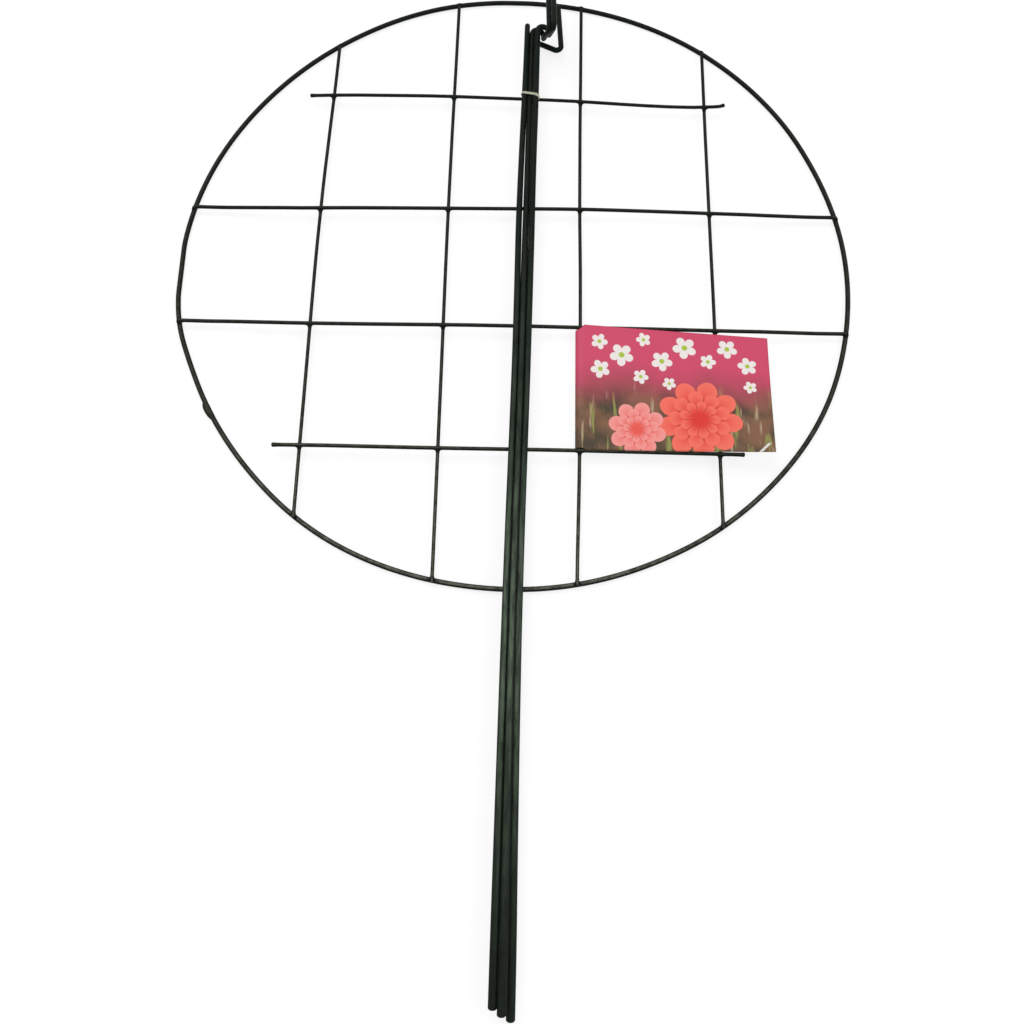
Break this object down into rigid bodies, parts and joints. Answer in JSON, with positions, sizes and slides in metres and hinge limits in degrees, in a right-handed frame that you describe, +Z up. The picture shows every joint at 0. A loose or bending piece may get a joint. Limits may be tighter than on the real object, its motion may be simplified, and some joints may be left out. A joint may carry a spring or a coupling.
{
  "type": "grow-through plant grid",
  "caption": "Round wire plant support packed flat: a hoop with a welded square grid, hooked wire legs held to it by an elastic tie, and a folded hang card.",
  "frame": {"origin": "on the surface the hoop lies on, under the middle of the whole bundle's bounding box", "axes": "+Z up from that surface, +Y along the legs from their feet to their hooks, +X to the right with the card on the +X side"},
  "size_m": [0.4062, 0.6276, 0.0347],
  "materials": {
    "hoop_coating": "dark green coating, slightly pebbled, over steel wire",
    "bar_coating": "dark green coating, pooled at the welds, over steel wire",
    "leg_coating": "dark green coating, slightly pebbled, over steel rod",
    "elastic": "pale cream elastic cord",
    "card_print": "coated printed card",
    "card_plain": "uncoated white card"
  },
  "bodies": {
    "grid": {"hoop": "hoop_coating", "vertical_bar_1": "bar_coating", "vertical_bar_2": "bar_coating", "vertical_bar_3": "bar_coating", "vertical_bar_4": "bar_coating", "cross_bar_1": "bar_coating", "cross_bar_2": "bar_coating", "cross_bar_3": "bar_coating", "cross_bar_4": "bar_coating", "bundle_tie": "elastic", "card_back": "card_plain"},
    "left_leg": {"leg_left": "leg_coating"},
    "middle_leg": {"leg_middle": "leg_coating"},
    "right_leg": {"leg_right": "leg_coating"},
    "card_flap": {"card_front": "card_print"}
  },
  "joints": [
    {"name": "left_leg_slide", "type": "slide", "parent": "grid", "child": "left_leg", "axis": [0.0128, 0.9999, -0.0008], "range_m": [-0.02, 0.016]},
    {"name": "middle_leg_slide", "type": "slide", "parent": "grid", "child": "middle_leg", "axis": [0.0117, 0.9999, -0.0039], "range_m": [-0.02, 0.002]},
    {"name": "right_leg_slide", "type": "slide", "parent": "grid", "child": "right_leg", "axis": [0.0107, 0.9999, 0.0096], "range_m": [-0.002, 0.016]},
    {"name": "card_fold", "type": "hinge", "parent": "grid", "child": "card_flap", "pos_m": [0.03675, 0.0301, 0.0056], "axis": [0, -1, 0], "range_deg": [0, 110]}
  ]
}
